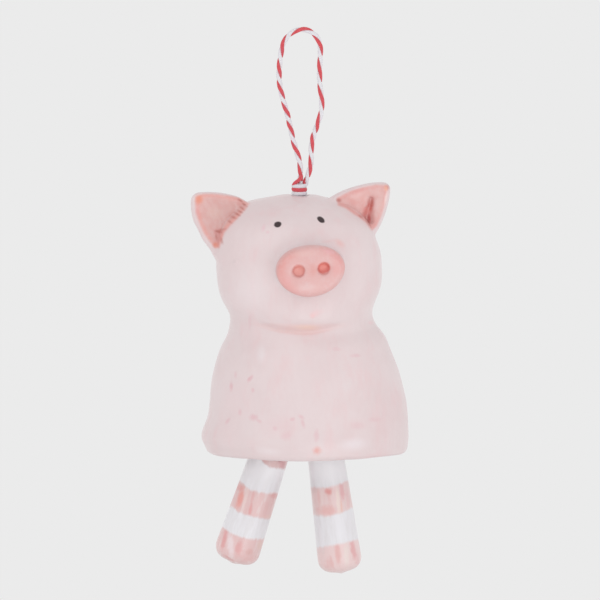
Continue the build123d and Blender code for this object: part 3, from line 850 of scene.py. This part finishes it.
legForm = {
    "voxel": 0.3, "rounds": 16, "length": 34.0,
    # below the eye: where the pinch is filled out to the leg's round, and where that is smoothed
    "fill": (2.6, 4.2, 6.5, 8.0), "shoulder": (2.0, 8.0), "shoulderRounds": 6,
    "paintedLightUnderRim": (-125.0, -117.0),  # levels between which the white is painted lighter: painted light against the shade of the rim
    "markShare": 0.75,
}
legGlaze = {
    "white": (234, 232, 236), "streakedWhite": (228, 225, 228), "paintedLitWhite": (250, 249, 252),
    "thinPink": (233, 210, 209), "streakedPink": (227, 177, 175), "roughness": 0.34,
}
wellAbove, wellBelow = ((-30, 0), (20, 0)), ((-30, -200), (20, -200))  # edges past the leg's ends
legs = {  # splay in degrees, and the radii at the top and the foot
    "left": {
        "splay": -18.5, "top": 5.0, "foot": 6.15, "seed": 3.0, "pink": (229, 195, 194),
        "bands": (
            (wellAbove, ((-11.9, -113.0), (-10.8, -115.6), (-8.9, -117.2), (-4.1, -117.8))),
            (((-16.8, -120.9), (-13.9, -123.4), (-9.9, -124.3), (-6.0, -124.2)),
             ((-18.7, -127.8), (-17.3, -129.3), (-14.5, -130.2), (-10.8, -131.0), (-8.3, -131.2))),
            (((-21.5, -133.3), (-19.5, -134.9), (-16.7, -136.0), (-13.6, -136.7), (-9.7, -136.6)), wellBelow),
        ),
        # across, up, half width, half height, lean, strength, colour
        "marks": (
            (-16.7, -125.7, 0.75, 2.7, -15, 0.95, (236, 150, 138)),
            (-16.9, -122.7, 0.8, 0.8, 0, 0.7, (228, 152, 148)),
            (-15.3, -125.9, 0.42, 2.8, -15, 0.8, (240, 216, 212)),
            (-13.9, -128.7, 0.45, 1.7, -10, 0.75, (226, 148, 148)),
            (-13.3, -125.3, 0.4, 1.5, -14, 0.4, (226, 158, 156)),
            (-7.1, -124.9, 1.4, 0.8, 5, 0.6, (222, 158, 155)),
            (-9.6, -128.3, 0.5, 2.4, -16, 0.35, (222, 170, 168)),
            (-8.6, -130.7, 1.6, 0.6, 3, 0.5, (232, 196, 186)),
            (-20.9, -136.4, 0.6, 3.0, -14, 0.85, (224, 148, 148)),
            (-19.3, -138.2, 0.85, 3.0, 6, 0.85, (238, 224, 227)),
            (-17.0, -139.2, 1.0, 1.9, -10, 0.75, (225, 156, 156)),
            (-14.2, -140.2, 0.9, 0.8, 0, 0.5, (219, 160, 154)),
            (-11.4, -138.4, 0.6, 1.4, -15, 0.6, (228, 200, 188)),
            (-19.6, -142.0, 1.5, 0.3, -35, 0.6, (214, 146, 146)),
            (-5.4, -116.2, 1.0, 1.4, 0, 0.7, (227, 170, 174)),
            (-12.6, -142.0, 2.4, 0.8, 10, 0.4, (228, 172, 170)),
        ),
    },
    "right": {
        "splay": 7.6, "top": 4.7, "foot": 5.95, "seed": 11.0, "pink": (235, 208, 207),
        "bands": (
            (((2.7, -122.6), (6.6, -122.8), (9.7, -122.0), (12.3, -120.8)),
             ((3.1, -130.2), (6.6, -130.5), (10.0, -129.9), (13.7, -128.1))),
            (((4.5, -138.9), (8.1, -138.3), (11.2, -137.7), (15.3, -136.6)), wellBelow),
        ),
        "marks": (
            (7.2, -123.8, 0.95, 0.8, -15, 0.95, (226, 142, 137)),
            (5.3, -125.9, 0.5, 1.7, 0, 0.6, (238, 214, 212)),
            (4.6, -125.4, 0.4, 2.6, 5, 0.5, (228, 172, 168)),
            (7.0, -128.9, 2.3, 1.2, 0, 0.7, (230, 168, 163)),
            (9.8, -126.6, 0.5, 3.4, 5, 0.9, (242, 224, 216)),
            (10.65, -128.0, 0.26, 1.7, 5, 0.6, (240, 190, 168)),
            (10.9, -124.0, 0.6, 2.1, 8, 0.75, (228, 164, 168)),
            (12.4, -125.6, 0.5, 2.6, 8, 0.5, (230, 182, 184)),
            (3.5, -123.4, 0.8, 0.8, 0, 0.6, (222, 198, 198)),
            (9.7, -140.6, 0.75, 2.6, 6, 0.7, (228, 164, 160)),
            (12.0, -141.1, 0.7, 2.9, 4, 0.85, (236, 222, 217)),
            (13.8, -139.4, 0.6, 2.7, 10, 0.8, (225, 156, 158)),
            (5.4, -139.3, 1.1, 1.2, 0, 0.6, (228, 208, 208)),
            (7.4, -143.4, 1.0, 1.8, 0, 0.4, (227, 170, 168)),
            (15.0, -142.4, 0.5, 2.2, 8, 0.5, (228, 178, 180)),
        ),
    },
}


def bandDepth(leg, x, v):  # how far inside a band each point lies, below zero outside
    depth = np.full(len(x), -1e3)
    for topEdge, bottomEdge in leg["bands"]:
        topX, topV = np.array(topEdge).T
        bottomX, bottomV = np.array(bottomEdge).T
        inside = np.minimum(np.interp(x, topX, topV) - v, v - np.interp(x, bottomX, bottomV))
        depth = np.maximum(depth, inside)
    return depth


def makeLegMaterial(legName, leg):
    s = Shader(f"{legName}_striped_glaze")
    lean = radians(leg["splay"])
    seed = leg["seed"]
    streak = s.noise(0.62, 4.0, 0.6, (1.0, 1.0, 5.0), (seed, 0, 0), (0, -lean, 0))
    wobble = s.noise(0.24, 2.0, 0.5, (1, 1, 2.0), (0, seed, 0))
    fine = s.noise(0.9, 4.0, 0.6)
    ragged = s.math("MULTIPLY", s.math("SUBTRACT", s.math("ADD", fine, streak), 1.0), 0.75)
    banded = s.ramp(s.math("ADD", s.attribute("bandDepth"), ragged), -0.5, 0.5)
    white = s.mix(s.ramp(streak, 0.38, 0.68), linear(*legGlaze["white"]), linear(*legGlaze["streakedWhite"]))
    # painted light: the white lightened towards the top, where the bell's rim shades it
    white = s.mix(s.attribute("paintedLightUnderRim"), white, linear(*legGlaze["paintedLitWhite"]))
    pink = s.mix(s.ramp(streak, 0.32, 0.5), linear(*legGlaze["thinPink"]), linear(*leg["pink"]))
    pink = s.mix(s.ramp(streak, 0.54, 0.7, (0.0, 0.4)), pink, linear(*legGlaze["streakedPink"]))
    uneven = s.math("MULTIPLY", s.math("SUBTRACT", fine, 0.5), 1.3)
    for x, v, wide, tall, turn, strength, tone in leg["marks"]:
        mark = s.math("MULTIPLY", s.spot(x, v, wide, tall, turn, 0.6, uneven), s.attribute("front"))
        pink = s.mix(s.math("MULTIPLY", mark, legForm["markShare"] * strength), pink, linear(*tone))
    colour = s.mix(banded, white, pink)
    s.bump(s.math("ADD", streak, s.math("MULTIPLY", wobble, 2.0)), 0.3, 0.3)
    return s.finish(colour, Roughness=legGlaze["roughness"], **coat)


for legName, leg in legs.items():
    legPiece = remeshed(f"{legName}_leg", f"{legName}_leg_glaze", legForm["voxel"], legForm["rounds"])
    places = vertexPlaces(legPiece.data)
    lean = radians(leg["splay"])
    fromEye = places - np.array(hangers[legName]["eye"])
    drop = fromEye @ np.array((sin(lean), 0, -cos(lean)))
    sideways = fromEye @ np.array((cos(lean), 0, sin(lean)))
    radius = leg["top"] + (leg["foot"] - leg["top"]) * np.clip(drop / legForm["length"], 0, 1)
    full = np.sqrt(np.maximum(radius ** 2 - sideways ** 2, 0))
    fillStart, fillFull, fillLess, fillEnd = legForm["fill"]
    fill = smooth(fillStart, fillFull, drop) * smooth(fillEnd, fillLess, drop)
    places[:, 1] += np.where(places[:, 1] < 0, -1, 1) * np.maximum(full - abs(places[:, 1]), 0) * fill
    setPlaces(legPiece.data, places)
    shoulder = legPiece.vertex_groups.new(name="shoulder")
    shoulderTop, shoulderFoot = legForm["shoulder"]
    shoulder.add(np.nonzero((drop > shoulderTop) & (drop < shoulderFoot))[0].tolist(), 1.0, "REPLACE")
    soften(legPiece, legForm["shoulderRounds"], "shoulder")
    settled(legPiece)
    legPiece.vertex_groups.clear()
    places = vertexPlaces(legPiece.data)
    normals = vertexNormals(legPiece.data)
    legX, legV = seen(places)
    setNumber(legPiece.data, "bandDepth", bandDepth(leg, legX, legV))
    setNumber(legPiece.data, "front", smooth(0.15, -0.2, normals[:, 1]))
    # painted light under the rim: how far up the leg the white is lightened
    setNumber(legPiece.data, "paintedLightUnderRim", smooth(*legForm["paintedLightUnderRim"], places[:, 2]))
    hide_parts(f"{legName}_leg")
    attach(legPiece, f"{legName}_swinging_leg")
    legPiece.data.materials.append(makeLegMaterial(legName, leg))
print("legs made")


# Light like a white tent's, a little stronger from the front and from below

light = {"front": 1.16, "back": 1.08, "below": 1.12, "above": 0.92, "background": (235, 235, 235)}
lamps = (("key", (-0.35, -0.6, 0.45), 0.7, 0.62), ("fill", (0.3, -0.65, -0.36), 0.6, 0.95))
lampAim = (0, 0, -0.08)

world = bpy.data.worlds.new("studio")
bpy.context.scene.world = world
world.use_nodes = True
tree = world.node_tree
tree.nodes.clear()
seenSky = tree.nodes.new("ShaderNodeBackground")
seenSky.inputs["Color"].default_value = (*linear(*light["background"]), 1)
litSky = tree.nodes.new("ShaderNodeBackground")
direction = tree.nodes.new("ShaderNodeTexCoord")
parts = tree.nodes.new("ShaderNodeSeparateXYZ")
tree.links.new(direction.outputs["Generated"], parts.inputs["Vector"])
shares = []
for axis, ends in (("Y", (light["front"], light["back"])), ("Z", (light["below"], light["above"]))):
    share = tree.nodes.new("ShaderNodeMapRange")
    tree.links.new(parts.outputs[axis], share.inputs["Value"])
    for key, value in zip(("From Min", "From Max", "To Min", "To Max"), (-1.0, 1.0, *ends)):
        share.inputs[key].default_value = value
    shares.append(share.outputs["Result"])
strength = tree.nodes.new("ShaderNodeMath")
strength.operation = "MULTIPLY"
tree.links.new(shares[0], strength.inputs[0])
tree.links.new(shares[1], strength.inputs[1])
tree.links.new(strength.outputs["Value"], litSky.inputs["Strength"])
rays = tree.nodes.new("ShaderNodeLightPath")
either = tree.nodes.new("ShaderNodeMixShader")
output = tree.nodes.new("ShaderNodeOutputWorld")
tree.links.new(rays.outputs["Is Camera Ray"], either.inputs["Fac"])
tree.links.new(litSky.outputs["Background"], either.inputs[1])
tree.links.new(seenSky.outputs["Background"], either.inputs[2])
tree.links.new(either.outputs["Shader"], output.inputs["Surface"])


for name, place, width, power in lamps:  # metres and watts
    data = bpy.data.lights.new(name, "AREA")
    data.shape = "DISK"
    data.size = width
    data.energy = power
    lamp = addObject(name, data)
    lamp.location = place
    lamp.rotation_mode = "QUATERNION"
    lamp.rotation_quaternion = (Vector(lampAim) - Vector(place)).to_track_quat("-Z", "Y")

# A pale floor under the hanging bell, fading into the background, in metres
ground = {"level": -0.2, "rings": (0.06, 0.12, 0.18, 0.24, 0.3), "sides": 96, "fade": (0.09, 0.24)}
sides = ground["sides"]
floorPoints = [(0.0, 0.0, ground["level"])]
for radius in ground["rings"]:
    floorPoints += [(radius * cos(2 * pi * k / sides), radius * sin(2 * pi * k / sides), ground["level"])
                    for k in range(sides)]
floorFaces = [(0, 1 + k, 1 + (k + 1) % sides) for k in range(sides)]
for ring in range(len(ground["rings"]) - 1):
    a, b = 1 + ring * sides, 1 + (ring + 1) * sides
    floorFaces += [(a + k, b + k, b + (k + 1) % sides, a + (k + 1) % sides) for k in range(sides)]
floor = meshPiece("floor", floorPoints, floorFaces)
s = Shader("floor")
flat = s.vector("MULTIPLY", s.places, (mm, mm, 0.0))
fade = s.ramp(s.vector("LENGTH", flat), *ground["fade"], (1.0, 0.0))
tone = s.noise(0.02, 2.0)
floor.data.materials.append(s.finish(s.mix(tone, linear(236, 236, 236), linear(240, 240, 240)),
                                     Roughness=0.9, Alpha=fade))
print("light and floor made")
